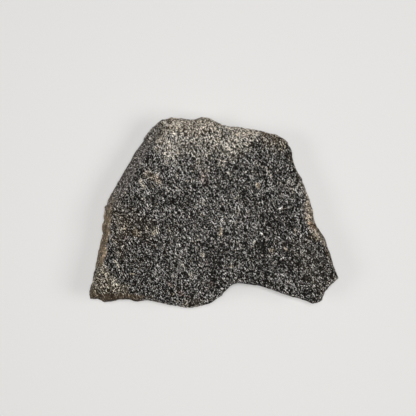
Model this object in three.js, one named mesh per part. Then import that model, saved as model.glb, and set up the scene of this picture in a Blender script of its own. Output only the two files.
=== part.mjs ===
// A hand specimen of gneiss: one broken slab that lies flat, its foliation roughly level.
// Millimetres, +Z up, +X along the slab's length, +Y to its back. The origin is on the surface that the
// slab rests on, under the middle of its outline.

import * as THREE from 'three';
import { ImprovedNoise } from 'three/addons/math/ImprovedNoise.js';

// ---- driving dimensions ----

const TOP_MIDDLE = 17.4;         // height of the top face over the origin
const TOP_TILT = 0.048;          // the slab is a wedge, thicker to the right by this much a millimetre
const TOP_SWELL = 1.3;           // broad rise and fall of the top face
const TOP_HACKLE = 0.45;         // small rise and fall of the top face
const SWELL_LENGTH = 27;         // how far apart the broad rises lie
const HACKLE_LENGTH = 8;         // how far apart the small rises lie

const FOLIATION_STRIKE = 118;    // degrees from +X: the direction in which the layers' edges run
const FOLIATION_DIP = 0.03;      // how fast the layers sink across that direction
const LAYER = 1.5;               // thickness of the layers that break away as ledges
const LEDGE_STRENGTH = 0.6;      // 0 would leave the faces smooth, 1 steps them fully

const REST_CENTRE = new THREE.Vector2(-1, -3);
const REST_RADIUS = 19;          // the flat spot of the underside, about this far round REST_CENTRE
const UNDERSIDE_RISE = 0.13;     // how fast the underside lifts away from the flat spot
const UNDERSIDE_SWELL = 1.3;
const UNDERSIDE_HACKLE = 0.6;

const SIDE_HACKLE = 1.1;         // how far the broken sides wander in and out
const SIDE_BLOCK = 15;           // rough length of the blocks that broke out of the sides
const OUTLINE_STEP = 2.08;       // spacing of the points round the outline
const TOP_RINGS = 19;
const UNDERSIDE_RINGS = 15;
const FLAT_RINGS = 4;            // the innermost of these are left out, where the flat spot needs no points
const RIM_ROWS = 3;              // rows of points from the top face's edge down to the outline

// Ledges of the sides, where blocks broke out below. down: the part of the side's height passed; depth:
// how far in the side steps under a block.
const LEDGES = [
  { down: 0.2, depth: 1.5 },
  { down: 0.47, depth: 1.9 },
  { down: 0.74, depth: 1.3 },
];
const LIP = 0.035;               // each ledge has a row of points this far above it and one below it

// Where a layer steps to the next, and where a block's edge lies, as the start and end of the change.
const LAYER_STEP = [0.3, 0.7];
const BLOCK_EDGE = [-0.08, 0.06];

// The slice of the noise that each surface follows, so that no two are alike.
const SLICE = { topSwell: 0.4, topHackle: 3.7, undersideSwell: 7.2, undersideHackle: 9.1 };
const BLOCK_SLICES = 20;         // how far apart the slices of the ledges' blocks lie, down the side
const WANDER_SLICES = 3;         // how much the side's wandering changes from its rim to its foot

// ---- the outline from above, counter-clockwise, in runs that each broke or wore in one way ----
// shoulder: how far inside the outline the top face ends; drop: how far the outline lies below that edge;
// worn: 0 for a flat facet between the two, 1 for a rounded one; foot: how far the side leans in below.

const EDGE_RUNS = [
  { // right edge: a steep joint face
    shoulder: 1.2, drop: 1.6, worn: 0.4, foot: 2.6,
    points: [[40.5, -0.8], [39.1, 4.6], [37.2, 9.1], [35.2, 14.7], [32.8, 19.5], [31.8, 24.0]],
  },
  { // back right corner
    shoulder: 2.4, drop: 2.4, worn: 0.8, foot: 3.4,
    points: [[30.3, 28.6], [26.2, 31.0]],
  },
  { // back edge: weathered round
    shoulder: 6.2, drop: 3.6, worn: 1, foot: 3.6,
    points: [[20.5, 32.8], [15.8, 33.6], [10.0, 34.6], [4.2, 35.4], [0.8, 37.1], [-2.0, 38.6], [-4.6, 38.5],
      [-7.8, 37.5], [-12.2, 37.9], [-17.2, 38.8]],
  },
  { // bevel: a smooth facet across the upper left corner
    shoulder: 5.6, drop: 5.2, worn: 0.1, foot: 2.0,
    points: [[-22.4, 36.5], [-25.0, 34.7], [-26.7, 32.2], [-29.0, 28.0], [-32.6, 23.3], [-35.5, 17.5], [-39.2, 12.0],
      [-42.4, 6.0]],
  },
  { // left edge: a face that slopes outward to its foot
    shoulder: 2.9, drop: 6.4, worn: 0.15, foot: 1.4,
    points: [[-44.2, 0.0], [-45.1, -5.0], [-45.0, -9.0], [-46.2, -13.6], [-47.6, -19.8], [-49.2, -27.0],
      [-50.3, -33.8]],
  },
  { // front left edge: a thin rough strip with two knobs
    shoulder: 1.7, drop: 2.8, worn: 0.5, foot: 2.8,
    points: [[-50.0, -35.4], [-47.2, -35.2], [-44.4, -36.4], [-41.6, -36.2], [-38.2, -35.4], [-34.0, -35.4], [-30.6, -36.2], [-26.5, -35.6]],
  },
  { // lobe of the front edge
    shoulder: 1.3, drop: 1.5, worn: 0.6, foot: 3.4,
    points: [[-20.6, -36.9], [-14.0, -38.1], [-9.0, -38.6], [-4.4, -38.0], [-0.3, -36.7]],
  },
  { // bay: a scooped break
    shoulder: 0.9, drop: 1.3, worn: 0.3, foot: 2.2,
    points: [[3.1, -33.9], [7.2, -29.6], [9.6, -28.6], [14.4, -28.8], [19.0, -29.6], [25.2, -31.8],
      [30.4, -33.5], [35.4, -35.0]],
  },
  { // front right corner, notch and beak
    shoulder: 1.3, drop: 1.9, worn: 0.3, foot: 3.2,
    points: [[40.2, -36.9], [43.4, -35.8], [44.7, -32.4], [46.4, -29.9], [48.6, -28.3], [50.5, -26.6]],
  },
  { // facet strip down from the right edge to the beak
    shoulder: 2.2, drop: 3.0, worn: 0.1, foot: 2.4,
    points: [[48.2, -21.5], [47.0, -16.0], [44.8, -10.3], [41.1, -5.0]],
  },
];

// ---- surfaces ----

const noise = new ImprovedNoise();

// Smooth noise from about -1 to 1 over the plan, whose rises lie about a length apart.
function noiseAt({ x, y }, length, slice) {
  return noise.noise(x / length, y / length, slice);
}

const acrossStrike = new THREE.Vector2(1, 0).rotateAround(
  new THREE.Vector2(), THREE.MathUtils.degToRad(FOLIATION_STRIKE - 90));

// Steps a height into ledges along the foliation, whose layers sink across the strike.
function ledged(x, y, height) {
  const sink = FOLIATION_DIP * (x * acrossStrike.x + y * acrossStrike.y);
  const layers = (height + sink) / LAYER;
  const whole = Math.floor(layers);
  const stepped = (whole + THREE.MathUtils.smoothstep(layers - whole, ...LAYER_STEP)) * LAYER - sink;
  return THREE.MathUtils.lerp(height, stepped, LEDGE_STRENGTH);
}

function topHeight(x, y) {
  const swell = TOP_SWELL * noiseAt({ x, y }, SWELL_LENGTH, SLICE.topSwell);
  const hackle = TOP_HACKLE * noiseAt({ x, y }, HACKLE_LENGTH, SLICE.topHackle);
  return ledged(x, y, TOP_MIDDLE + TOP_TILT * x + swell) + hackle;
}

function undersideHeight(x, y) {
  const beyond = Math.hypot(x - REST_CENTRE.x, y - REST_CENTRE.y) - REST_RADIUS;
  const swell = UNDERSIDE_SWELL * noiseAt({ x, y }, SWELL_LENGTH, SLICE.undersideSwell);
  const hackle = UNDERSIDE_HACKLE * noiseAt({ x, y }, HACKLE_LENGTH, SLICE.undersideHackle);
  const lift = UNDERSIDE_RISE * beyond + swell + hackle;
  return lift > 0 ? Math.max(0, ledged(x, y, lift)) : 0;
}

// ---- the edge: the outline's points with the measures of their run, blended from run to run ----

const MEASURES = ['shoulder', 'drop', 'worn', 'foot'];
const BLEND = 2;                 // points either side over which one run's measures pass into the next's

function outlineCorners() {
  return EDGE_RUNS.flatMap((run) => run.points.map(([x, y]) => ({ ...run, x, y })));
}

function edgePoints() {
  const corners = outlineCorners();
  const points = corners.flatMap((corner, i) => {
    const next = corners[(i + 1) % corners.length];
    const steps = Math.max(1, Math.round(Math.hypot(next.x - corner.x, next.y - corner.y) / OUTLINE_STEP));
    return Array.from({ length: steps }, (_, step) => ({
      ...corner,
      x: THREE.MathUtils.lerp(corner.x, next.x, step / steps),
      y: THREE.MathUtils.lerp(corner.y, next.y, step / steps),
    }));
  });
  return points.map((point, i) => ({ ...point, ...blendedMeasures(points, i) }));
}

function blendedMeasures(points, middle) {
  const blended = Object.fromEntries(MEASURES.map((name) => [name, 0]));
  for (let offset = -BLEND; offset <= BLEND; offset += 1) {
    const near = points[(middle + offset + points.length) % points.length];
    for (const name of MEASURES) {
      blended[name] += near[name] / (2 * BLEND + 1);
    }
  }
  return blended;
}

// The point that lies a distance inside the outline, towards the middle.
function inside(point, distance) {
  const scale = 1 - distance / Math.hypot(point.x, point.y);
  return { x: point.x * scale, y: point.y * scale };
}

// ---- rings of points, from the middle of the top face over the edge to the middle of the underside ----

function faceRing(rim, part, height) {
  const count = Math.round(rim.length * part);
  return Array.from({ length: count }, (_, i) => {
    const place = (i / count) * rim.length;
    const before = rim[Math.floor(place) % rim.length];
    const after = rim[Math.ceil(place) % rim.length];
    const x = THREE.MathUtils.lerp(before.x, after.x, place % 1) * part;
    const y = THREE.MathUtils.lerp(before.y, after.y, place % 1) * part;
    return new THREE.Vector3(x, y, height(x, y));
  });
}

function shoulderLine(edge) {
  return edge.map((point) => inside(point, point.shoulder));
}

function footLine(edge) {
  return edge.map((point) => inside(point, sideLean(point, 1)));
}

function rimRing(edge, part) {
  return edge.map((point) => {
    const shoulder = inside(point, point.shoulder);
    const top = topHeight(shoulder.x, shoulder.y);
    const fall = THREE.MathUtils.lerp(part, part * part, point.worn);
    return new THREE.Vector3(
      THREE.MathUtils.lerp(shoulder.x, point.x, part),
      THREE.MathUtils.lerp(shoulder.y, point.y, part),
      top - fall * point.drop);
  });
}

// 1 where the block under a ledge is gone and 0 where it still stands, with a quick change between.
function blockGone(point, ledge) {
  const field = noiseAt(point, SIDE_BLOCK, BLOCK_SLICES * ledge.down);
  return THREE.MathUtils.smoothstep(field, ...BLOCK_EDGE);
}

// How far inside the outline the side lies once a part of its height is passed.
function sideLean(point, down) {
  const passed = LEDGES.filter((ledge) => down > ledge.down);
  const steps = passed.map((ledge) => ledge.depth * blockGone(point, ledge));
  const wander = SIDE_HACKLE * noiseAt(point, HACKLE_LENGTH, WANDER_SLICES * down);
  const lean = point.foot * down + wander + steps.reduce((sum, step) => sum + step, 0);
  return Math.max(0, lean);
}

function sideRing(edge, down) {
  return edge.map((point) => {
    const shoulder = inside(point, point.shoulder);
    const foot = inside(point, sideLean(point, 1));
    const rimHeight = topHeight(shoulder.x, shoulder.y) - point.drop;
    const footHeight = undersideHeight(foot.x, foot.y);
    const place = inside(point, sideLean(point, down));
    return new THREE.Vector3(place.x, place.y, THREE.MathUtils.lerp(rimHeight, footHeight, down));
  });
}

function slabRings() {
  const edge = edgePoints();
  const rings = [[new THREE.Vector3(0, 0, topHeight(0, 0))]];
  for (let ring = 1; ring <= TOP_RINGS; ring += 1) {
    rings.push(faceRing(shoulderLine(edge), ring / TOP_RINGS, topHeight));
  }
  for (let row = 1; row <= RIM_ROWS; row += 1) {
    rings.push(rimRing(edge, row / RIM_ROWS));
  }
  for (const ledge of LEDGES) {
    rings.push(sideRing(edge, ledge.down - LIP), sideRing(edge, ledge.down + LIP));
  }
  rings.push(sideRing(edge, 1));
  for (let ring = UNDERSIDE_RINGS - 1; ring > FLAT_RINGS; ring -= 1) {
    rings.push(faceRing(footLine(edge), ring / UNDERSIDE_RINGS, undersideHeight));
  }
  rings.push([new THREE.Vector3(0, 0, undersideHeight(0, 0))]);
  return rings;
}

// ---- the closed mesh ----

// Joins two neighbouring rings, which may hold different numbers of points, with a band of triangles.
function bandBetween(inner, outer) {
  const innerSteps = inner.count > 1 ? inner.count : 0;
  const outerSteps = outer.count > 1 ? outer.count : 0;
  const faces = [];
  let i = 0;
  let j = 0;
  while (i < innerSteps || j < outerSteps) {
    faces.push(inner.start + (i % inner.count), outer.start + (j % outer.count));
    const innerIsBehind = (i + 1) / innerSteps < (j + 1) / outerSteps;
    if (j === outerSteps || (i < innerSteps && innerIsBehind)) {
      i += 1;
      faces.push(inner.start + (i % inner.count));
    } else {
      j += 1;
      faces.push(outer.start + (j % outer.count));
    }
  }
  return faces;
}

function slabGeometry() {
  const rings = slabRings();
  const spans = [];
  let start = 0;
  for (const ring of rings) {
    spans.push({ start, count: ring.length });
    start += ring.length;
  }
  const faces = spans.slice(1).flatMap((span, i) => bandBetween(spans[i], span));
  const geometry = new THREE.BufferGeometry().setFromPoints(rings.flat());
  geometry.setIndex(faces);
  geometry.computeVertexNormals();
  return geometry;
}

const gneiss = new THREE.MeshStandardMaterial({ color: 0x59564f, roughness: 0.85, metalness: 0 });
const slab = new THREE.Mesh(slabGeometry(), gneiss);
slab.name = 'gneiss_slab';

const specimen = new THREE.Group();
specimen.add(slab);

export default specimen;
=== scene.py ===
"""A gneiss hand specimen on a pale floor: its fine surface and its minerals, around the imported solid.

Lengths here are in millimetres unless they say otherwise. MM turns them into Blender's metres.
"""

import math
from typing import NamedTuple

import bpy
import numpy as np
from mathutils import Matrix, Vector, noise


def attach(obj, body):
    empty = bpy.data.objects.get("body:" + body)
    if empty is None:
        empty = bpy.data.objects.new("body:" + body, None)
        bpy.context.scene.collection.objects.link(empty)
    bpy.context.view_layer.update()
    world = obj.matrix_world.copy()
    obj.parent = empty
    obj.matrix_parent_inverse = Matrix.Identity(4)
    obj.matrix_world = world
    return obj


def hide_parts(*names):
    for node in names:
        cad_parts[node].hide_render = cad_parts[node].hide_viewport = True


MM = 0.001
NODE = "gneiss_slab"

# ---- the fine surface ----

VOXEL = 0.445  # the size of the fine mesh's faces
NORMAL_ROUNDS = 3  # of averaging, which smooth the directions that the relief stands out in
FOLIATION_STRIKE = 118.0  # degrees from +X: the direction in which the layers' edges run
FOLIATION_DIP = 0.03  # how fast the layers sink across that direction
# How far a place must face sideways, up or down to start to be part of the sides, the top or the
# underside, and to be all of it.
SIDE_FACING = (0.35, 0.8)
TOP_FACING = (0.6, 0.9)
UNDER_FACING = (0.0, 0.5)

# A wave of smooth noise has rises this length apart along x, y and across the layers, a height, and
# an offset: the place in the noise where it is read, so that no two waves are alike.
WAVES = [
    {"length": (5.5, 5.5, 4.0), "height": 0.20, "offset": 11.3},
    {"length": (2.4, 2.4, 1.9), "height": 0.13, "offset": 27.1},
    {"length": (1.2, 1.2, 1.0), "height": 0.12, "offset": 43.9},
]
# Layers that end one behind the other in a broken side, and flakes that lie on the top and the
# underside.
SIDE_LAYERS = [
    {"length": (10.0, 10.0, 1.5), "height": 0.34, "offset": 61.7},
    {"length": (4.2, 4.2, 0.9), "height": 0.18, "offset": 70.9},
]
FLAKES = [
    {"length": (9.0, 9.0, 3.0), "height": 0.14, "offset": 77.3},
    {"length": (3.6, 3.6, 2.0), "height": 0.09, "offset": 83.9},
]
STEP_SHARPNESS = 9.0  # how suddenly a broken layer or flake ends
# Flat facets of the fracture: how wide they are, and how far their rims stand out of the sides and
# of the top and the underside.
FACETS = [
    {"size": 4.6, "on_side": 0.75, "on_face": 0.30, "offset": 5.5},
    {"size": 1.9, "on_side": 0.42, "on_face": 0.26, "offset": 31.5},
]
FACET_SLOPE = 2.0  # how steep the facets are
FACET_BORDER = 0.16  # the share of a facet's size over which it passes into the next
GRAIN_SIZE = 1.0  # of the grains that stand out of the surface or have dropped out
GRAIN_HEIGHT = 0.12
GRAIN_UNEVENNESS = 0.9  # how far the grains stand above each other
CELL_SPREAD = 37.0  # keeps the random numbers of neighbouring facets and grains apart
CHIP_ROUNDS = 10  # of averaging, which set how wide an edge is worn
CHIP_SHARPEST = 0.5  # an edge that stands out more than this is chipped no deeper
EDGE_CHIP = 0.7  # how much of a sharp edge's height a chip takes away
CHIP_PLACES = {"length": (3.0, 3.0, 3.0), "height": 1.0, "offset": 91.1}
CHIP_SPREAD = (-0.1, 0.35)  # how high that wave stands where a chip starts and where it is full
CALM_RIM = 0.35  # the share of the relief that the sides have at the rim, where they are worn
CALM_DEPTH = (2.0, 7.0)  # how far below the top face's level that starts to grow, and is full
HOLLOW_ROUNDS = 6  # of averaging, which set how wide a hollow is painted darker
HOLLOW_DEPTH = 0.12  # the depth of a hollow whose colour is painted fully dark
HOLLOW_SHADE = 0.30  # and how much its colour is darkened: painted shade
RIDGE_SHARE = 0.5  # a ridge's colour is painted paler, as painted light, by at most this share of that
FLOOR_ROOM = 0.3  # nearer to the floor than this the surface is pressed flat
FLOOR_PRESS = 0.6  # by this share of its height

# Small hollows of the top face: where, how wide, how deep.
PITS = [
    {"at": (20.2, -13.4), "radius": 1.7, "depth": 0.55},
    {"at": (-4.9, 3.6), "radius": 1.3, "depth": 0.4},
    {"at": (-2.8, -13.4), "radius": 1.3, "depth": 0.4},
    {"at": (-36.9, 3.6), "radius": 1.5, "depth": 0.45},
    {"at": (-13.5, 22.4), "radius": 1.6, "depth": 0.5},
    {"at": (29.0, 16.0), "radius": 1.4, "depth": 0.4},
]
# A crack of the top face, under the pale flake, and a groove of it, along the lineation.
CRACKS = [
    {
        "path": [(-24.6, 17.9), (-21.0, 17.3), (-17.5, 17.0), (-14.6, 17.9)],
        "width": 0.6,
        "depth": 0.55,
    },
    {"path": [(3.5, 32.2), (5.4, 28.9), (7.9, 24.9)], "width": 0.7, "depth": 0.5},
]

# ---- finishes of the surface, and the zones that have them ----


def look(shift, gain, lift=(0.0, 0.0, 0.0), worn=0.0):
    """How a finish looks.

    shift: more pale grains (above 0) or more dark ones; gain and lift: what the minerals' colour is
    multiplied by and what is added to it; worn: how much of the fine relief is rubbed away.
    """
    return {"shift": shift, "gain": gain, "lift": lift, "worn": worn}


FRESH = look(0.0, gain=(1.0, 1.0, 1.0))
FINISHES = {
    "weathered": look(0.20, gain=(1.16, 1.125, 1.05), lift=(0.0135, 0.0100, 0.0070), worn=0.2),
    "rind": look(0.25, gain=(1.035, 0.98, 0.88), lift=(0.0270, 0.0178, 0.0112), worn=0.4),
    "pale": look(0.28, gain=(1.03, 1.00, 0.935), lift=(0.0070, 0.0050, 0.0035), worn=0.1),
    "worn grey": look(0.04, gain=(0.82, 0.785, 0.77), lift=(0.036, 0.0315, 0.029), worn=0.6),
    "brown skin": look(0.0, gain=(0.80, 0.66, 0.48), lift=(0.164, 0.124, 0.082), worn=0.5),
    "dark skin": look(0.0, gain=(0.44, 0.37, 0.30), lift=(0.033, 0.0235, 0.015), worn=0.3),
    "tan": look(0.16, gain=(1.06, 0.95, 0.82), lift=(0.014, 0.010, 0.0065), worn=0.1),
    "olive": look(0.03, gain=(1.00, 0.955, 0.85), lift=(0.0125, 0.0095, 0.0055), worn=0.1),
    "stained": look(0.0, gain=(1.0, 0.90, 0.76), lift=(0.016, 0.011, 0.006), worn=0.1),
    "rust": look(0.0, gain=(0.80, 0.55, 0.38), lift=(0.040, 0.020, 0.010)),
    "pink": look(0.15, gain=(0.64, 0.52, 0.49), lift=(0.014, 0.010, 0.009)),
    # these three change how many grains are pale and leave the rest as it is
    "felsic": {"shift": 0.06},
    "mafic": {"shift": -0.075},
    "mica": {"shift": -0.2},
    "pale grain": look(0.42, gain=(0.88, 0.84, 0.73)),
    "tan grain": look(0.34, gain=(0.74, 0.66, 0.53)),
    # painted glint: a spot made pale in the colour, standing in for a mica flake catching the light
    "glint": look(0.675, gain=(1.15, 1.16, 1.20)),
}
SHALLOW = 4.0  # a zone that ends just under the rim
WHOLE_SIDE = 25.0  # one that goes on down to the floor


class Zone(NamedTuple):
    """A place of the surface with a finish, laid over the zones before it."""

    finish: str
    reach: float  # how far from its line the zone is full
    fade: float  # over how far it ends there
    path: list  # the points of its line, seen from above
    strength: float = 1.0  # above 1 it goes past its finish
    depth: float = SHALLOW  # how far below the top face's level it reaches down the sides
    taper: float = 0.0  # over how far it starts, from the line's first point


ZONES = [
    # the weathered back
    Zone(
        "weathered", 2.0, 8.0,
        [(-19, 36), (-14, 34), (-6, 33), (2, 32), (9, 31.5), (14, 33)],
        depth=WHOLE_SIDE,
    ),
    Zone(
        "rind", 2.0, 3.0,
        [(-17, 39.5), (-8, 38.5), (-2, 39), (4, 36.5), (12, 35.7), (20.5, 34.4)],
        depth=WHOLE_SIDE,
    ),
    Zone("rind", 2.4, 3.0, [(-15, 36), (-8, 35.5), (-3, 35.5)]),
    Zone("weathered", 2.0, 3.5, [(-20, 27), (-11, 27), (5, 27)], strength=0.8),
    Zone("pale", 1.2, 2.6, [(-17.8, 30), (-16.4, 26), (-16, 22)], strength=0.65),
    Zone("pale", 1.4, 2.2, [(4, 32), (5.2, 29.4)], strength=1.5),
    Zone("pale", 0.6, 2.0, [(6.5, 27), (8.5, 24.5)], strength=0.6),
    Zone("weathered", 0.5, 2.5, [(1.5, 25.5), (4, 19.5)], strength=0.6),
    Zone("weathered", 0.5, 2.5, [(-9.5, 27), (-6, 21), (-3.5, 17)], strength=0.6),
    Zone("pale grain", 0.1, 0.6, [(9.4, 24.6), (10, 22.8)], strength=0.7),
    Zone("rind", 0.8, 2.0, [(11, 33.5), (13.5, 32), (17, 32.5)]),
    Zone("rind", 0.8, 3.0, [(19.5, 33.8), (24.5, 32), (28, 30.4)], strength=0.2),
    Zone("stained", 1.2, 3.0, [(21.5, 33.4), (25.5, 31.6), (29, 29.6)], strength=0.8),
    Zone("weathered", 0.8, 3.0, [(22.5, 28.5), (25, 26)], strength=0.25),
    Zone("weathered", 1.2, 2.6, [(-23.5, 33.5), (-22, 30.5)], strength=0.5),
    Zone("stained", 1.4, 2.6, [(-22.5, 33.5), (-21, 30.5)], strength=0.5),
    Zone("mafic", 0.3, 0.8, [(-12.5, 26.6), (-11, 26.5)]),
    Zone("mafic", 0.6, 2.0, [(15.5, 26.8), (18, 25)], strength=0.6),
    # the bevel across the upper left corner, and the pale streak beside it
    Zone(
        "worn grey", 3.2, 1.6,
        [(-26, 33), (-30, 26.5), (-33.5, 20.5), (-38, 12.5), (-41.5, 5.5)],
        depth=9.0,
    ),
    Zone("weathered", 1.4, 2.5, [(-25, 33.5), (-25, 30)], strength=0.5),
    Zone("felsic", 1.5, 3.0, [(-27, 19), (-22, 14), (-14, 13)]),
    Zone("tan", 0.5, 1.6, [(-27, 15.8), (-24.5, 14.4), (-22, 12.8)]),
    Zone("pale grain", 0.5, 1.2, [(-29, 12.4), (-28, 10.4)]),
    Zone("stained", 2.0, 5.0, [(-40, 2), (-34, -3), (-27, -8)], strength=0.35),
    # the left face and the front left corner
    Zone(
        "brown skin", 3.0, 1.6,
        [(-44.6, 4.5), (-45.4, -2), (-45.6, -8), (-47.4, -16), (-49, -22), (-51.8, -33)],
        depth=WHOLE_SIDE, taper=8.0,
    ),
    Zone("olive", 3.0, 3.0, [(-46, -26), (-43, -30), (-38, -32.5)]),
    Zone("tan", 1.5, 2.5, [(-44, -29), (-40.5, -30.5), (-36.5, -32)], strength=0.3),
    Zone(
        "dark skin", 2.3, 1.3,
        [(-26, -36.6), (-36, -35.8), (-42, -36), (-49, -36.6)],
        depth=9.0, taper=5.0,
    ),
    # the right edge
    Zone("stained", 0.8, 1.5, [(33, 22), (36.6, 13), (39.6, 5), (41.2, -1)], depth=8.0),
    Zone("tan", 0.8, 1.6, [(37.6, 10), (39.2, 5), (40.5, -1)], depth=7.0),
    Zone("tan", 1.6, 1.6, [(38.6, 2), (39.4, -3.5), (41.5, -9)], depth=7.0),
    Zone("tan grain", 0.6, 1.2, [(38.6, 1.6), (39.2, -2.6)], strength=0.5),
    Zone("rust", 0.3, 0.7, [(38.8, -4.4), (40.6, -5.8)], strength=0.7),
    Zone("stained", 1.0, 1.6, [(44, -9), (46.4, -14), (48.4, -20)], strength=0.7, depth=8.0),
    Zone("tan grain", 0.3, 0.8, [(43.7, -11), (44.6, -13)]),
    Zone("weathered", 1.0, 3.0, [(31, 11.5), (34.5, 12), (36, 9)], strength=0.45),
    Zone("stained", 0.6, 1.5, [(25.6, 31), (25, 28.5)], strength=0.5),
    # places, broad ones and then small ones, with more pale or more dark grains
    Zone("olive", 3.0, 5.0, [(36, -16), (44, -28)], strength=0.3),
    Zone("stained", 1.0, 3.5, [(-37, -3), (-37.6, -17)], strength=0.45),
    Zone("stained", 1.5, 4.0, [(23, 29), (28, 27)], strength=0.4),
    Zone("stained", 1.0, 2.4, [(-11, -37), (-6, -37)], strength=0.45),
    Zone("mafic", 5.0, 5.0, [(-38, -11), (-25, -18)], strength=0.5),
    Zone("mafic", 3.0, 4.0, [(36, -21), (43, -31)], strength=0.5),
    Zone("mafic", 1.6, 3.0, [(40, -14), (45.5, -24)], strength=0.6),
    Zone("mafic", 2.0, 4.0, [(20, -9), (20, -20)], strength=0.4),
    Zone("mafic", 2.5, 4.0, [(16, 20), (22, 9), (28.5, 6)], strength=0.3),
    Zone("mafic", 1.6, 3.0, [(-34, -32.5), (-18, -34), (-8, -35)], strength=0.4),
    Zone("felsic", 1.6, 2.5, [(1, -3.6), (6, -4.2)], strength=2.2),
    Zone("felsic", 1.0, 2.0, [(32.5, -10.5), (33.5, -13)], strength=0.8),
    Zone("felsic", 1.0, 2.0, [(-18.5, 0.3), (-15.5, -1)]),
    Zone("felsic", 1.0, 3.0, [(-5, 7), (-4.5, 4)], strength=1.4),
    Zone("felsic", 1.0, 2.0, [(-22.8, -25.5), (-22, -24.6)], strength=0.5),
    Zone("felsic", 0.8, 2.5, [(-13.2, -7), (-12.5, -17)]),
    Zone("felsic", 0.6, 2.0, [(25.5, -25.5), (28, -29)], strength=0.7),
    Zone("felsic", 1.0, 2.5, [(24.5, 27.5), (25.5, 23)], strength=0.8),
    Zone("pale", 0.8, 2.0, [(-20, 22.5), (-18.5, 19.5)], strength=0.6),
    Zone("felsic", 1.0, 2.0, [(-10.5, 18.5), (-9, 17)], strength=0.8),
    Zone("felsic", 1.0, 2.0, [(9.5, 19), (11, 17.5)], strength=0.8),
    Zone("felsic", 1.0, 1.6, [(8.2, -6), (9, -8)], strength=2.0),
    Zone("felsic", 1.0, 1.8, [(-6.6, -7.4), (-5.6, -8.6)], strength=1.2),
    Zone("felsic", 1.2, 2.0, [(26, -15.5), (28.5, -17)]),
    Zone("felsic", 1.0, 2.0, [(36.5, -16.5), (37.5, -18.5)], strength=1.4),
    Zone("felsic", 0.8, 2.0, [(-32, -23), (-31, -25)], strength=0.8),
    Zone("felsic", 0.8, 1.5, [(-14, -36.3), (-6, -37.2)]),
    Zone("mafic", 1.0, 2.0, [(-33.6, 4.2), (-32.6, 2.6)]),
    Zone("mafic", 1.0, 2.0, [(-23.4, 5.8), (-21.8, 4.2)]),
    Zone("mafic", 1.8, 2.2, [(-13.6, 4.6), (-11.6, 3.4)], strength=2.2),
    Zone("mafic", 2.0, 4.0, [(23, -4.5), (28, -3)]),
    Zone("mafic", 1.6, 3.0, [(15.5, -14.5), (20, -13), (21.8, -11.5)], strength=1.3),
    Zone("mafic", 1.2, 3.0, [(-1, -13.5), (1.5, -20), (1, -28)], strength=0.7),
    Zone("mafic", 1.2, 2.5, [(1.6, -10.6), (4.4, -13), (6.6, -17)], strength=1.2),
    Zone("mafic", 2.2, 3.5, [(31.5, -20.5), (37, -24), (43, -26), (40.5, -32)]),
    Zone("mafic", 1.5, 3.0, [(20, 17.5), (23, 15)], strength=0.8),
    Zone("mafic", 1.4, 2.5, [(28.4, 9), (28, 2)], strength=1.5),
    Zone("mafic", 0.8, 2.0, [(12.2, 7.8), (12.8, 6.4)], strength=0.6),
    Zone("mafic", 1.2, 2.2, [(-18, 12.8), (-16.4, 11.2)]),
    Zone("mafic", 0.8, 2.0, [(-11, 26.2), (-4, 26.8)], strength=0.45),
    Zone("mafic", 1.6, 3.0, [(-39, -1.5), (-35, -4), (-31, 3.6)]),
    Zone("mafic", 1.4, 2.0, [(-14.8, -3.6), (-18, -8), (-16.8, -11)], strength=1.5),
    Zone("mafic", 1.4, 2.6, [(-38.4, -8.5), (-37, -14), (-36, -20), (-35, -24.5)]),
    Zone("mafic", 1.0, 2.0, [(-28.5, -12), (-26.5, -14.5)]),
    Zone("mafic", 1.8, 2.5, [(-24.5, -15), (-23, -19)], strength=1.5),
    Zone("mafic", 1.2, 2.5, [(-20, -22.5), (-15.2, -31.5)]),
    Zone("mafic", 1.2, 2.0, [(-26.2, -24), (-25, -28.5)]),
    Zone("mafic", 0.8, 2.0, [(-5.2, -2), (-3.8, -3)]),
    Zone("mafic", 0.8, 2.0, [(9.8, -19.5), (6, -26)]),
    Zone("mafic", 1.4, 2.5, [(31, -15), (32.5, -15.5)]),
    Zone("mafic", 0.8, 2.0, [(6.6, 8.6), (8, 7.4)]),
    Zone("mafic", 0.6, 1.6, [(20.6, 8.8), (21.6, 7.6)]),
    Zone("mafic", 0.6, 1.6, [(21.6, 1.6), (22.4, 0.4)]),
    Zone("mafic", 1.4, 2.5, [(-31, -27.5), (-28, -31.5)], strength=0.8),
    Zone("mafic", 1.0, 2.5, [(-28.5, -5.5), (-22.5, 1.5)]),
    Zone("mafic", 1.0, 2.0, [(-10.5, 9.5), (-5.5, 8.4)]),
    Zone("mafic", 0.8, 1.8, [(15, 21), (17, 24.5)]),
    Zone("mafic", 1.6, 3.0, [(11.5, -20.5), (19, -27)]),
    Zone("mafic", 1.0, 2.4, [(37.6, -8.5), (38.4, -14.5)]),
    Zone("mafic", 0.8, 2.0, [(-9.6, -17.4), (-8.6, -18.4)], strength=0.8),
    Zone("mafic", 1.2, 2.4, [(30, 22.5), (31.5, 18)]),
    Zone("felsic", 0.8, 2.0, [(24.4, 4.4), (25, 2.6)]),
    Zone("felsic", 0.8, 2.0, [(30.2, 9.4), (30.4, 7.6)]),
    Zone("felsic", 0.8, 2.0, [(6.6, -20.4), (7.4, -22.4)]),
    Zone("felsic", 0.8, 2.0, [(-8, -22), (-6.4, -27)]),
    Zone("weathered", 1.2, 2.5, [(7.5, 23), (13, 26.5)], strength=0.8),
    Zone("mafic", 1.0, 1.6, [(40.4, -16.2), (41.2, -18.6)], strength=1.8),
    Zone("mafic", 0.8, 2.0, [(-41.6, -8.5), (-41, -10.5)]),
    Zone("mafic", 1.0, 2.0, [(-41.6, -19), (-40, -20)], strength=1.4),
    Zone("mafic", 1.0, 2.0, [(-39, -1.5), (-38, -3)], strength=1.6),
    Zone("felsic", 0.8, 1.6, [(-14.2, 8.4), (-13.4, 7.4)]),
    Zone("felsic", 0.8, 1.6, [(-24.6, -13), (-24, -14.4)]),
    Zone("felsic", 0.8, 1.6, [(30, -29), (32, -31)]),
    Zone("felsic", 0.8, 1.8, [(-22.8, -21), (-21.8, -23)]),
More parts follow.
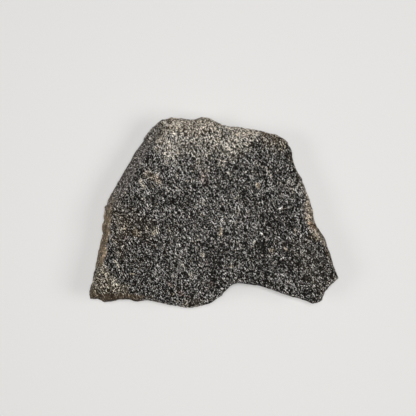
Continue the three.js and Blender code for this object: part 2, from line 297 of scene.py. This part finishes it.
    Zone("felsic", 0.8, 1.8, [(-4.6, 22.4), (-2.4, 21.6)]),
    Zone("mafic", 0.8, 2.0, [(-37, -12), (-35, -14.5)]),
    Zone("mafic", 0.6, 1.8, [(-33.5, -18.5), (-31.5, -19.5)]),
    Zone("mafic", 0.6, 1.8, [(-23.5, -15.5), (-23, -19)]),
    Zone("mafic", 0.8, 2.0, [(15.5, -9), (19.5, -11)]),
    Zone("mafic", 0.6, 1.8, [(18, -17.5), (18.6, -20.5)]),
    Zone("mafic", 0.8, 2.0, [(13.5, 17.5), (17, 16)]),
    Zone("mafic", 0.6, 1.8, [(22.4, 17), (22.8, 14)]),
    Zone("mafic", 0.8, 2.0, [(43.5, -22), (46, -27.5)]),
    Zone("mafic", 0.8, 2.0, [(33, -33), (36, -35.5)]),
    Zone("felsic", 0.8, 1.8, [(-13, -15), (-12, -19.5), (-12.6, -23)]),
    Zone("felsic", 0.6, 1.6, [(-17, -0.8), (-15, -1.4)], strength=1.5),
    Zone("felsic", 0.6, 1.6, [(-7, -8), (-2.5, -9)]),
    Zone("felsic", 0.6, 1.8, [(9, 18.5), (13.5, 14)]),
    Zone("felsic", 0.6, 1.8, [(-22, 15.5), (-16.5, 15)]),
    Zone("felsic", 0.8, 2.0, [(22, 9), (25, 7.5)]),
    Zone("felsic", 0.6, 1.6, [(32.6, -11), (33.4, -13)]),
    Zone("mafic", 0.8, 1.8, [(20.2, -12.6), (21, -14.6)], strength=1.6),
    Zone("mafic", 0.5, 1.6, [(-28, -12), (-27.2, -14)], strength=1.4),
    Zone("mafic", 0.5, 1.6, [(-15.6, -3), (-16.6, -4.4)], strength=1.4),
    Zone("mafic", 0.6, 1.6, [(11.2, 23.6), (12.4, 21.8)]),
    Zone("mafic", 0.8, 2.0, [(26, 6), (29, 9.5)]),
    Zone("felsic", 0.6, 1.6, [(-5, 22.2), (-2.6, 21.4)]),
    Zone("felsic", 0.6, 1.6, [(-26.4, 15), (-25.4, 13.6)]),
    Zone("felsic", 0.6, 1.6, [(-30, -22.5), (-27.5, -22)]),
    Zone("felsic", 0.6, 1.6, [(12, -5), (14.5, -6)]),
    Zone("mica", 0.6, 2.2, [(19.6, -12.6), (20.6, -14.4)]),
    Zone("mica", 0.3, 2.0, [(-12.8, 4.4), (-11.8, 3.4)], strength=0.8),
    Zone("mica", 0.4, 2.2, [(-38.4, -1.6), (-37.4, -3.4)], strength=0.5),
    Zone("mica", 0.4, 2.6, [(41.6, -29.5), (42.4, -33.5)], strength=0.4),
    Zone("mica", 0.4, 2.2, [(-27.6, -12.2), (-27.2, -13.6)], strength=0.35),
    Zone("pale", 0.6, 1.8, [(-26.6, 15.2), (-25.4, 13.4)], strength=0.45),
    Zone("mafic", 0.8, 2.6, [(-20.4, 34), (-19.6, 28.5)], strength=0.2),
    Zone("mafic", 0.8, 2.6, [(21, 30.2), (23, 29.8)], strength=0.3),
    Zone("mica", 1.0, 2.6, [(-37.5, -12.5), (-34.5, -14.5)], strength=0.25),
    Zone("mica", 0.8, 2.4, [(-23.4, -15.5), (-22.4, -19)], strength=0.25),
    Zone("mica", 0.6, 2.2, [(-17.4, -3.4), (-14.6, -4.6)], strength=0.25),
    Zone("mica", 0.8, 2.4, [(40.6, -15.6), (41.6, -18)], strength=0.25),
    Zone("mica", 1.6, 3.0, [(31.5, -20), (36, -24)], strength=0.15),
    Zone("mica", 0.6, 2.2, [(14.8, 7.8), (15.2, 5.4)], strength=0.25),
    Zone("mica", 0.6, 2.4, [(26.8, 5.6), (27.2, 2.6)], strength=0.25),
    Zone("mica", 0.6, 2.2, [(26.4, -2), (27.6, -3.4)], strength=0.3),
    Zone("mica", 0.6, 2.4, [(3.6, -31), (5, -32)], strength=0.3),
    Zone("pale", 1.0, 2.4, [(3.6, 32.2), (5.2, 29.8)], strength=1.5),
    Zone("tan grain", 0.5, 2.0, [(-4.4, 21.8), (-2.6, 21.4)], strength=0.3),
    Zone("pale grain", 0.5, 2.0, [(10.2, 18.6), (11.8, 17.9)], strength=0.15),
    Zone("pale grain", 0.5, 2.0, [(-13.8, -14.8), (-13.2, -16.4)], strength=0.15),
    Zone("pale grain", 0.5, 2.0, [(-6.6, -7.2), (-5.6, -8)], strength=0.15),
    Zone("tan grain", 0.5, 2.0, [(7.8, -5.6), (9.2, -6.4)], strength=0.15),
    Zone("pale grain", 0.5, 2.0, [(-5.4, 6.6), (-4.2, 5)], strength=0.15),
    Zone("pale grain", 0.5, 2.0, [(23.6, -9.4), (24.8, -10.6)], strength=0.15),
    # single coarse grains
    Zone("pale grain", 0.5, 0.8, [(-17.3, 33.2), (-16.9, 32.6)]),
    Zone("pale grain", 0.6, 0.6, [(-40.1, -28), (-39.4, -29.4)]),
    Zone("pale grain", 0.1, 0.5, [(-44.2, -24.6), (-43.4, -26.4)], strength=0.6),
    Zone("pale grain", 0.2, 0.5, [(-39.6, -19.6), (-37.8, -22.5)]),
    Zone("pale grain", 0.5, 0.6, [(-23.4, -6.4), (-23.2, -8.2)]),
    Zone("pale grain", 0.3, 0.6, [(-12.6, -20), (-11.2, -22.6)]),
    Zone("pale grain", 0.4, 0.6, [(-9, -25), (-8.2, -26.4)]),
    Zone("pale grain", 0.4, 0.6, [(-4.1, -16.6), (-3.8, -17.6)]),
    Zone("pale grain", 0.4, 0.6, [(-37.4, -6.6), (-38.2, -7.6)]),
    Zone("pale grain", 0.2, 0.5, [(16.6, -11.8), (16.2, -13.6)], strength=0.7),
    Zone("pale grain", 0.3, 0.6, [(6.4, 16), (7.2, 15)]),
    Zone("pale grain", 0.2, 0.5, [(21.2, 17.8), (23.2, 14.6)]),
    Zone("pale grain", 0.1, 0.5, [(16.4, 20.2), (17.4, 19.6)], strength=0.5),
    Zone("tan grain", 0.5, 0.6, [(3.2, -6.6), (3, -9.2)]),
    Zone("tan grain", 0.7, 0.5, [(18.2, 11), (18.4, 10.2)]),
    Zone("tan grain", 0.5, 0.6, [(23.2, -15.3), (24.2, -15.3)]),
    Zone("tan grain", 0.3, 0.5, [(28.8, -14.2), (29.2, -14.8)]),
    Zone("tan grain", 0.3, 0.6, [(6.9, -21.8), (8, -21.4)]),
    Zone("tan grain", 0.3, 0.6, [(32.6, -7.6), (33.4, -8.6)]),
    Zone("tan grain", 0.3, 0.6, [(-32.8, -24.8), (-32, -25.2)]),
    Zone("stained", 1.0, 0.8, [(-31.4, -8.2), (-30.6, -8.8)]),
    Zone("pink", 1.0, 1.5, [(-4.5, 15.6), (-3.4, 12.2)], strength=0.6),
    Zone("pink", 0.4, 0.5, [(-0.9, -28.5), (-0.4, -28.7)]),
    Zone("pink", 0.5, 0.5, [(-13.1, -32.2), (-12.9, -33)]),
    Zone("pink", 0.3, 0.5, [(-18.2, -28), (-16.8, -29.6)]),
    Zone("pink", 0.3, 0.5, [(-35.2, -10.4), (-34.8, -10.8)]),
    Zone("pink", 0.3, 0.5, [(-2.9, -19.8), (-2.5, -20.4)]),
    # painted glints: spots of mica painted pale in place of their reflection
    Zone("glint", 0.2, 0.4, [(26.9, 1.5), (27.6, 1.9)]),
    Zone("glint", 0.1, 0.5, [(19.2, -8.4), (19.6, -8.6)]),
]
# How a zone's border wanders.
WANDER = [
    {"length": (3.5, 3.5, 3.5), "height": 1.6, "offset": 123.7},
    {"length": (1.3, 1.3, 1.3), "height": 0.9, "offset": 151.3},
]
FULL_WANDER_FADE = 3.0  # the border of a zone with a shorter fade wanders less, in proportion
TAPER_WANDER = 2.0  # how many times as far the start of a zone with a taper wanders
SIDE_RAGGED = 3.0  # how many times as far a zone's border wanders on a side
SIDE_FADE = 4.0  # how much further it takes to end there
# What breaks the border into grains there, and the thinner places that a zone has there.
SIDE_SPECKLE = {"length": (0.9, 0.9, 0.8), "height": 5.0, "offset": 171.9}
SIDE_MOTTLE = {"length": (3.2, 3.2, 1.6), "height": 1.1, "offset": 187.3}
# The paler and darker streaks of whatever a finish's lift adds.
LIFT_MOTTLE = {"length": (1.3, 3.4, 1.3), "height": 1.1, "offset": 269.9}
# Darker and paler layers, seen on the sides.
SIDE_BANDS = [
    {"length": (30.0, 30.0, 2.6), "height": 0.17, "offset": 211.9},
    {"length": (13.0, 13.0, 1.1), "height": 0.13, "offset": 229.7},
]
# Stains of the sides and the underside: patches with broken borders, and how high their waves stand
# where a stain starts and where it is full.
STAIN_PATCHES = [
    {"length": (16.0, 16.0, 9.0), "height": 1.0, "offset": 203.3},
    {"length": (5.0, 5.0, 3.5), "height": 0.6, "offset": 241.1},
    {"length": (1.3, 1.3, 1.1), "height": 0.7, "offset": 257.9},
]
STAIN_SPREAD = (-0.1, 0.6)
TOP_LEVEL = 17.4  # the top face's mean level over the origin
TOP_TILT = 0.048  # and how much it rises a millimetre to the right

# ---- minerals, as linear colours ----

LINEATION = 122.0  # degrees from +X, the way the grains are drawn out over the top
GRAIN_LONG = 0.41  # along the lineation
GRAIN_ACROSS = 0.28
GRAIN_FLAT = 0.30  # across the layers
STREAK_SIZE = (2.4, 0.48, 0.44)  # how long, wide and thick the streaks of the lineation are
BAND_SIZE = (34.0, 22.0, 1.7)  # how long, wide and thick the paler and darker layers are
# The scales count in grains, or in streaks and layers of the sizes above: a larger one is finer.
WARP_SCALE = 0.9  # of the noise that bends the grains out of shape
WARP = 0.9  # how far it bends them, in grains
THREAD_NOISE = {"scale": 1.2, "detail": 3.0, "roughness": 0.7}
STREAK_NOISE = {"scale": 1.0, "detail": 2.0, "roughness": 0.5}
CLUSTER_NOISE = {"scale": 0.16, "detail": 3.0, "roughness": 0.55}
BAND_NOISE = {"scale": 1.0, "detail": 2.0, "roughness": 0.55}
# What makes a place pale or dark: its tone is TONE_MIDDLE and, in these shares, what the grain itself,
# the wormy threads, the streaks, the clusters and the layers add or take away.
TONE_MIDDLE = 0.276
TONE_SHARES = {"grain": 0.95, "threads": 2.20, "streaks": 1.00, "clusters": 0.44, "bands": 0.34}
MINERAL_STOPS = [
    (0.00, (0.0025, 0.0020, 0.0015)),
    (0.42, (0.0036, 0.0029, 0.0022)),
    (0.48, (0.012, 0.010, 0.0085)),
    (0.54, (0.048, 0.046, 0.0427)),
    (0.61, (0.167, 0.162, 0.153)),
    (0.68, (0.385, 0.372, 0.352)),
    (0.76, (0.680, 0.659, 0.628)),
    (1.00, (0.900, 0.877, 0.840)),
]
MICA_SHEEN = (0.008, 0.0075, 0.0065)  # the most that a grain is paler than its mineral
# A pair of numbers below says where a noise, or a grain's random number, starts to show something,
# and where it shows it fully.
YELLOW_FELDSPAR = (1.0, 0.92, 0.76)
YELLOW_PATCHES = {"scale": 0.22, "detail": 2.0}
YELLOW_SPREAD = (0.54, 0.64)
YELLOW_GRAINS = (0.35, 0.6)
RUST_SPECK = (0.12, 0.070, 0.048)
RUST_GRAINS = (0.9975, 0.9985)
ROUGHNESS = 0.9
GLASSY_ROUGHNESS = 0.35
GLASSY_GRAINS = (0.86, 0.9)
SPECULAR = 0.09
GRAIN_TILT = 0.55  # how far the grains' faces turn away from the surface
BUMP_STEP = 0.5  # how far the grains stand above each other in the bump, against the threads
BUMP_STRENGTH = 0.8
BUMP_DISTANCE = 0.12

# ---- the studio ----

FRAME_WIDTH = 168.5
CAMERA_AT = (-2.0, 1.7)
CAMERA_HEIGHT = 460.0  # over the level of the outline
OUTLINE_LEVEL = 14.0  # how high the slab is at its outline, where the frame is FRAME_WIDTH wide
SENSOR = 36.0
FLOOR_COLOUR = (0.80, 0.79, 0.775)
FLOOR_ROUGHNESS = 0.9
FLOOR_SPECULAR = 0.1
FLOOR_REACH = 3.0  # metres

# Where each light stands: its direction from +X and its tilt from overhead in degrees, its distance
# and its side in metres; and the irradiance that it gives the floor.
LIGHTS = {
    "overhead": {"azimuth": 70, "tilt": 1.5, "distance": 0.75, "size": 0.12, "irradiance": 1.70},
    "left": {"azimuth": 190, "tilt": 33, "distance": 1.2, "size": 0.42, "irradiance": 0.26},
    "right": {"azimuth": 351, "tilt": 42, "distance": 1.2, "size": 0.55, "irradiance": 0.48},
}
AREA_LIGHT_SPREAD = 4.0  # an area light's power over the irradiance it gives head on, a metre away
WORLD_STRENGTH = 0.02

HALF = (0.5, 0.5, 0.5)


def smoothstep(low, high, value):
    """0 below low, 1 above high, smooth between."""
    share = np.clip((value - low) / (high - low), 0.0, 1.0)
    return share * share * (3.0 - 2.0 * share)


def distance_to_path(plan, path):
    """How far points seen from above lie from the line through a path's points."""
    nearest = np.full(len(plan), np.inf)
    for start, end in zip(path[:-1], path[1:]):
        start, end = np.array(start, float), np.array(end, float)
        along = end - start
        share = np.clip((plan - start) @ along / (along @ along), 0.0, 1.0)
        away = np.linalg.norm(plan - start - share[:, None] * along, axis=1)
        nearest = np.minimum(nearest, away)
    return nearest


def layer_height(points):
    """The height of each point counted across the layers, which sink a little across the strike."""
    across = math.radians(FOLIATION_STRIKE - 90.0)
    sink = FOLIATION_DIP * (points[:, 0] * math.cos(across) + points[:, 1] * math.sin(across))
    return points[:, 2] + sink


def wave(points, length, height, offset):
    """Smooth noise of about this height, its rises length apart along x, y and across the layers."""
    places = np.column_stack([points[:, 0], points[:, 1], layer_height(points)])
    places = places / np.array(length) + offset
    return height * np.array([noise.noise(place) for place in places.tolist()])


def stepped(points, length, height, offset):
    """Plates whose edges end suddenly, each this much proud or shy of the surface."""
    return height * np.tanh(STEP_SHARPNESS * wave(points, length, 1.0, offset))


def facets(points, size, offset):
    """Small flat facets, each tilted its own way."""
    heights = []
    for place in (points / size + offset).tolist():
        distances, centres = noise.voronoi(place)
        tilt = noise.cell_vector(centres[0] * CELL_SPREAD) - Vector(HALF)
        slope = FACET_SLOPE * tilt.dot(Vector(place) - centres[0])
        border = min(1.0, (distances[1] - distances[0]) / FACET_BORDER)
        heights.append(slope * border)
    return np.array(heights)


def grains(points):
    """Domes of the grains, each a little higher or lower than the next."""
    heights = []
    for place in (points / GRAIN_SIZE).tolist():
        distances, centres = noise.voronoi(place)
        heights.append(GRAIN_UNEVENNESS * noise.cell(centres[0] * CELL_SPREAD) - distances[0])
    heights = np.array(heights)
    return GRAIN_HEIGHT * (heights - heights.mean())


def neighbours_mean(values, edges, rounds):
    """Values at the vertices, averaged over their neighbours a number of times."""
    start, end = edges.T
    size = len(values)
    count = np.bincount(edges.ravel(), minlength=size)[:, None]
    for _ in range(rounds):
        total = np.column_stack([
            np.bincount(start, column[end], size) + np.bincount(end, column[start], size)
            for column in values.T
        ])
        values = 0.5 * values + 0.5 * total / count
    return values


def fine_mesh(solid):
    """An even, dense mesh over the solid."""
    rough = bpy.data.objects.new("rough_stone", solid.data.copy())
    bpy.context.scene.collection.objects.link(rough)
    remesh = rough.modifiers.new("even", "REMESH")
    remesh.mode = "VOXEL"
    remesh.voxel_size = VOXEL * MM
    graph = bpy.context.evaluated_depsgraph_get()
    mesh = bpy.data.meshes.new_from_object(rough.evaluated_get(graph))
    bpy.data.objects.remove(rough)
    return mesh


def numbers(items, name, kind, width):
    """A property of all of a mesh's items, one row for each."""
    values = np.empty(len(items) * width, kind)
    items.foreach_get(name, values)
    return values.reshape(-1, width)


def below_top(points):
    """How far each point lies below the top face's mean level."""
    return TOP_LEVEL + TOP_TILT * points[:, 0] - points[:, 2]


def relief(points, normals, edges, worn):
    """How far the broken surface stands out from the smooth form at each point."""
    side = side_share(normals)
    top = smoothstep(*TOP_FACING, normals[:, 2])
    height = sum(wave(points, **swell) for swell in WAVES)
    height += side * sum(stepped(points, **layers) for layers in SIDE_LAYERS)
    height += (1.0 - side) * sum(stepped(points, **flakes) for flakes in FLAKES)
    for facet in FACETS:
        share = facet["on_face"] + side * (facet["on_side"] - facet["on_face"])
        height += share * facets(points, facet["size"], facet["offset"])
    height += grains(points)
    calm = side * (1.0 - CALM_RIM) * (1.0 - smoothstep(*CALM_DEPTH, below_top(points)))
    height *= (1.0 - worn) * (1.0 - calm)
    smooth = neighbours_mean(points, edges, CHIP_ROUNDS)
    sharpness = np.clip(np.sum((points - smooth) * normals, axis=1), 0.0, CHIP_SHARPEST)
    chips = smoothstep(*CHIP_SPREAD, wave(points, **CHIP_PLACES))
    height -= EDGE_CHIP * sharpness * chips
    for pit in PITS:
        away = np.linalg.norm(points[:, :2] - pit["at"], axis=1) / pit["radius"]
        height -= top * pit["depth"] * np.clip(1.0 - away**2, 0.0, 1.0)
    for crack in CRACKS:
        away = distance_to_path(points[:, :2], crack["path"]) / crack["width"]
        height -= top * crack["depth"] * np.clip(1.0 - away, 0.0, 1.0)
    return height


def side_share(normals):
    """1 on the sides and 0 on the top and the underside."""
    return smoothstep(*SIDE_FACING, 1.0 - np.abs(normals[:, 2]))


def tones(points, normals):
    """The zones' measures at each point, with ragged borders."""
    size = len(points)
    measures = {name: np.tile(value, (size, 1)).astype(float) for name, value in FRESH.items()}

    def lay(finish, share):
        for name, value in finish.items():
            measures[name] += share[:, None] * (np.atleast_1d(value) - measures[name])

    side = side_share(normals)
    patches = smoothstep(*STAIN_SPREAD, sum(wave(points, **patch) for patch in STAIN_PATCHES))
    lay(FINISHES["stained"], patches * np.maximum(side, smoothstep(*UNDER_FACING, -normals[:, 2])))
    wander = sum(wave(points, **swell) for swell in WANDER)
    below = below_top(points)
    speckle = side * wave(points, **SIDE_SPECKLE)
    thin = side * np.clip(wave(points, **SIDE_MOTTLE), 0.0, 1.0)
    for zone in ZONES:
        ragged = min(1.0, zone.fade / FULL_WANDER_FADE)
        away = distance_to_path(points[:, :2], zone.path)
        away = away + wander * (ragged + side * (SIDE_RAGGED - ragged))
        away += np.maximum(0.0, below - zone.depth) + speckle
        share = 1.0 - smoothstep(zone.reach, zone.reach + zone.fade + side * SIDE_FADE, away)
        if zone.taper:
            from_start = np.linalg.norm(points[:, :2] - zone.path[0], axis=1)
            share *= smoothstep(0.0, zone.taper, from_start + TAPER_WANDER * wander)
        lay(FINISHES[zone.finish], share * (1.0 - thin) * zone.strength)
    measures["lift"] *= 1.0 + wave(points, **LIFT_MOTTLE)[:, None]
    for band in SIDE_BANDS:
        measures["shift"] += (side * wave(points, **band))[:, None]
    return measures


def write_attribute(mesh, name, kind, field, values):
    attribute = mesh.attributes.new(name, kind, "POINT")
    attribute.data.foreach_set(field, values.astype(np.float32).ravel())


def hollowness(points, normals, edges):
    """How far each point lies below its surroundings: above 0 in hollows, below 0 on ridges."""
    return np.sum((neighbours_mean(points, edges, HOLLOW_ROUNDS) - points) * normals, axis=1)


def make_stone(solid):
    """The solid's form with its relief, and its finishes as attributes that the material reads, with
    painted shade in the hollows and painted light on the ridges.
    """
    mesh = fine_mesh(solid)
    points = numbers(mesh.vertices, "co", np.float32, 3).astype(float) / MM
    normals = numbers(mesh.vertex_normals, "vector", np.float32, 3).astype(float)
    edges = numbers(mesh.edges, "vertices", np.int32, 2)
    normals = neighbours_mean(normals, edges, NORMAL_ROUNDS)
    normals /= np.linalg.norm(normals, axis=1, keepdims=True)
    measures = tones(points, normals)
    height = relief(points, normals, edges, measures["worn"][:, 0])
    moved = points + height[:, None] * normals
    near_floor = 1.0 - smoothstep(0.0, FLOOR_ROOM, points[:, 2])
    moved[:, 2] = np.maximum(moved[:, 2], 0.0)
    moved[:, 2] -= near_floor * FLOOR_PRESS * moved[:, 2]
    mesh.vertices.foreach_set("co", (moved * MM).astype(np.float32).ravel())
    # painted shade and light: the colour is darkened in hollows and made paler on ridges
    painted_hollow_shade = np.clip(hollowness(moved, normals, edges) / HOLLOW_DEPTH, -RIDGE_SHARE, 1.0)
    shade = 1.0 - HOLLOW_SHADE * painted_hollow_shade[:, None]
    write_attribute(mesh, "tone_gain_and_shade", "FLOAT_VECTOR", "vector", measures["gain"] * shade)
    write_attribute(mesh, "tone_lift_and_shade", "FLOAT_VECTOR", "vector", measures["lift"] * shade)
    write_attribute(mesh, "tone_shift", "FLOAT", "value", measures["shift"])
    mesh.shade_smooth()
    mesh.update()
    stone = bpy.data.objects.new("gneiss_stone", mesh)
    bpy.context.scene.collection.objects.link(stone)
    mesh.materials.clear()
    mesh.materials.append(gneiss())
    return stone


class Graph:
    """Builds a material's nodes. A socket takes either a value or another node's output."""

    def __init__(self, name):
        self.material = bpy.data.materials.new(name)
        self.material.use_nodes = True
        self.tree = self.material.node_tree
        self.tree.nodes.clear()

    def feed(self, socket, value):
        if isinstance(value, bpy.types.NodeSocket):
            self.tree.links.new(value, socket)
        else:
            socket.default_value = value

    def node(self, kind, inputs=None, **settings):
        made = self.tree.nodes.new("ShaderNode" + kind)
        for name, value in settings.items():
            setattr(made, name, value)
        for name, value in (inputs or {}).items():
            self.feed(made.inputs[name], value)
        return made

    def math(self, operation, *values, clamp=False):
        made = self.node("Math", operation=operation, use_clamp=clamp)
        for socket, value in zip(made.inputs, values):
            self.feed(socket, value)
        return made.outputs[0]

    def vector_math(self, operation, *values):
        made = self.node("VectorMath", operation=operation)
        for socket, value in zip(made.inputs, values):
            self.feed(socket, value)
        return made.outputs[0]

    def mix(self, share, a, b, blend="MIX"):
        made = self.node("Mix", data_type="RGBA", blend_type=blend)
        self.feed(made.inputs[0], share)
        self.feed(made.inputs[6], a if isinstance(a, bpy.types.NodeSocket) else (*a, 1.0))
        self.feed(made.inputs[7], b if isinstance(b, bpy.types.NodeSocket) else (*b, 1.0))
        return made.outputs[2]

    def ramp(self, value, stops):
        made = self.node("ValToRGB", {"Fac": value})
        elements = made.color_ramp.elements
        while len(elements) < len(stops):
            elements.new(1.0)
        for element, (place, colour) in zip(elements, stops):
            element.position = place
            element.color = (*colour, 1.0)
        return made.outputs["Color"]

    def between(self, value, low, high):
        """0 below low, 1 above high, smooth between."""
        return self.node(
            "MapRange",
            {"Value": value, "From Min": low, "From Max": high},
            interpolation_type="SMOOTHSTEP",
        ).outputs["Result"]

    def noise(self, vector, scale, detail=2.0, roughness=0.5):
        return self.node(
            "TexNoise", {"Vector": vector, "Scale": scale, "Detail": detail, "Roughness": roughness}
        )

    def voronoi(self, vector, scale=1.0):
        return self.node("TexVoronoi", {"Vector": vector, "Scale": scale})


def stretched(g, place, long, across, flat):
    """Coordinates turned to the lineation and counted in grains of this size."""
    return g.node(
        "Mapping",
        {
            "Vector": place,
            "Rotation": (0.0, 0.0, math.radians(LINEATION)),
            "Scale": (long * MM, across * MM, flat * MM),
        },
        vector_type="TEXTURE",
    ).outputs["Vector"]


def grain_pattern(g, place):
    """The grains' random numbers, and how pale or dark each place is by its minerals."""
    grid = stretched(g, place, GRAIN_LONG, GRAIN_ACROSS, GRAIN_FLAT)
    warp = g.vector_math("SUBTRACT", g.noise(grid, WARP_SCALE).outputs["Color"], HALF)
    warped = g.vector_math("MULTIPLY_ADD", warp, (WARP, WARP, WARP), grid)
    cells = g.voronoi(warped)
    randoms = cells.outputs["Color"]
    parts = {
        "grain": g.node("SeparateColor", {"Color": randoms}).outputs[0],
        "threads": g.noise(warped, **THREAD_NOISE).outputs["Fac"],
        "streaks": g.noise(stretched(g, place, *STREAK_SIZE), **STREAK_NOISE).outputs["Fac"],
        "clusters": g.noise(grid, **CLUSTER_NOISE).outputs["Fac"],
        "bands": g.noise(stretched(g, place, *BAND_SIZE), **BAND_NOISE).outputs["Fac"],
    }
    shift = g.node("Attribute", attribute_name="tone_shift").outputs["Fac"]
    tone = g.math("ADD", shift, TONE_MIDDLE)
    for name, share in TONE_SHARES.items():
        tone = g.math("MULTIPLY_ADD", g.math("SUBTRACT", parts[name], 0.5), share, tone)
    return grid, cells, parts["threads"], tone


def mineral_colour(g, grid, randoms, tone):
    """Black mica to grey quartz to white feldspar, some of it yellow, with a rare rusty speck."""
    _, random_b, random_c = randoms
    mineral = g.mix(random_c, g.ramp(tone, MINERAL_STOPS), MICA_SHEEN, "ADD")
    patches = g.between(g.noise(grid, **YELLOW_PATCHES).outputs["Fac"], *YELLOW_SPREAD)
    yellow = g.math("MULTIPLY", patches, g.between(random_b, *YELLOW_GRAINS))
    mineral = g.mix(yellow, mineral, g.mix(1.0, mineral, YELLOW_FELDSPAR, "MULTIPLY"))
    mineral = g.mix(g.between(random_c, *RUST_GRAINS), mineral, RUST_SPECK)
    # gain and lift carry the finishes, the painted shade of the hollows and the painted light of the
    # ridges
    gain = g.node("Attribute", attribute_name="tone_gain_and_shade").outputs["Vector"]
    lift = g.node("Attribute", attribute_name="tone_lift_and_shade").outputs["Vector"]
    return g.vector_math("ADD", g.vector_math("MULTIPLY", mineral, gain), lift)


def gneiss():
    """The stone's material: solid grains, each with its own mineral, gloss and face."""
    g = Graph("gneiss")
    place = g.node("TexCoord").outputs["Object"]
    grid, cells, threads, tone = grain_pattern(g, place)
    randoms = g.node("SeparateColor", {"Color": cells.outputs["Color"]}).outputs[:3]
    glassy = g.between(randoms[1], *GLASSY_GRAINS)
    roughness = g.math("MULTIPLY_ADD", glassy, GLASSY_ROUGHNESS - ROUGHNESS, ROUGHNESS)

    turn = g.vector_math("SUBTRACT", cells.outputs["Color"], HALF)
    surface = g.node("NewGeometry").outputs["Normal"]
    turned = g.vector_math("MULTIPLY_ADD", turn, (GRAIN_TILT, GRAIN_TILT, GRAIN_TILT), surface)
    height = g.math("ADD", g.math("MULTIPLY", randoms[1], BUMP_STEP), threads)
    bump = g.node(
        "Bump",
        {
            "Strength": BUMP_STRENGTH,
            "Distance": BUMP_DISTANCE * MM,
            "Height": height,
            "Normal": g.vector_math("NORMALIZE", turned),
        },
    )
    shader = g.node(
        "BsdfPrincipled",
        {
            "Base Color": mineral_colour(g, grid, randoms, tone),
            "Roughness": roughness,
            "Specular IOR Level": SPECULAR,
            "Normal": bump.outputs["Normal"],
        },
    )
    g.node("OutputMaterial", {"Surface": shader.outputs["BSDF"]})
    return g.material


def make_floor():
    reach = FLOOR_REACH
    corners = [(-reach, -reach, 0), (reach, -reach, 0), (reach, reach, 0), (-reach, reach, 0)]
    mesh = bpy.data.meshes.new("floor")
    mesh.from_pydata(corners, [], [(0, 1, 2, 3)])
    floor = bpy.data.objects.new("floor", mesh)
    bpy.context.scene.collection.objects.link(floor)
    g = Graph("floor_paper")
    shader = g.node(
        "BsdfPrincipled",
        {
            "Base Color": (*FLOOR_COLOUR, 1.0),
            "Roughness": FLOOR_ROUGHNESS,
            "Specular IOR Level": FLOOR_SPECULAR,
        },
    )
    g.node("OutputMaterial", {"Surface": shader.outputs["BSDF"]})
    mesh.materials.append(g.material)


def add_soft_light(name, azimuth, tilt, distance, size, irradiance):
    """A square soft light that faces the stone and gives the floor under it this irradiance."""
    data = bpy.data.lights.new(name, "AREA")
    data.shape = "SQUARE"
    data.size = size
    facing = math.cos(math.radians(tilt))
    data.energy = irradiance * AREA_LIGHT_SPREAD * distance**2 / facing
    light = bpy.data.objects.new(name, data)
    level = distance * math.sin(math.radians(tilt))
    light.location = (
        level * math.cos(math.radians(azimuth)),
        level * math.sin(math.radians(azimuth)),
        distance * facing,
    )
    light.rotation_euler = (-light.location).to_track_quat("-Z", "Y").to_euler()
    bpy.context.scene.collection.objects.link(light)


def light_studio():
    for name, placing in LIGHTS.items():
        add_soft_light(name, **placing)
    world = bpy.data.worlds.new("studio")
    world.use_nodes = True
    background = world.node_tree.nodes["Background"]
    background.inputs["Color"].default_value = (1.0, 1.0, 1.0, 1.0)
    background.inputs["Strength"].default_value = WORLD_STRENGTH
    bpy.context.scene.world = world


def add_camera():
    data = bpy.data.cameras.new("camera")
    data.sensor_width = SENSOR
    data.lens = SENSOR * CAMERA_HEIGHT / FRAME_WIDTH
    camera = bpy.data.objects.new("camera", data)
    across, up = CAMERA_AT
    camera.location = (across * MM, up * MM, (CAMERA_HEIGHT + OUTLINE_LEVEL) * MM)
    bpy.context.scene.collection.objects.link(camera)
    bpy.context.scene.camera = camera


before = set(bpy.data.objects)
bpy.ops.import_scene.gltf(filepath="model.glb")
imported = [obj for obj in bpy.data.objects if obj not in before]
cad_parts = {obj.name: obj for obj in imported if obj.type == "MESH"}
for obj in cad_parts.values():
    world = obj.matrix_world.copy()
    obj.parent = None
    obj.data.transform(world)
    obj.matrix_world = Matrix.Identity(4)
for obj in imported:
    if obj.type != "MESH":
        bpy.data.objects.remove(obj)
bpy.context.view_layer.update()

stone = make_stone(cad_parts[NODE])
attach(stone, "root")
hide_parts(NODE)

make_floor()
light_studio()
add_camera()
bpy.context.scene.view_settings.view_transform = "Standard"
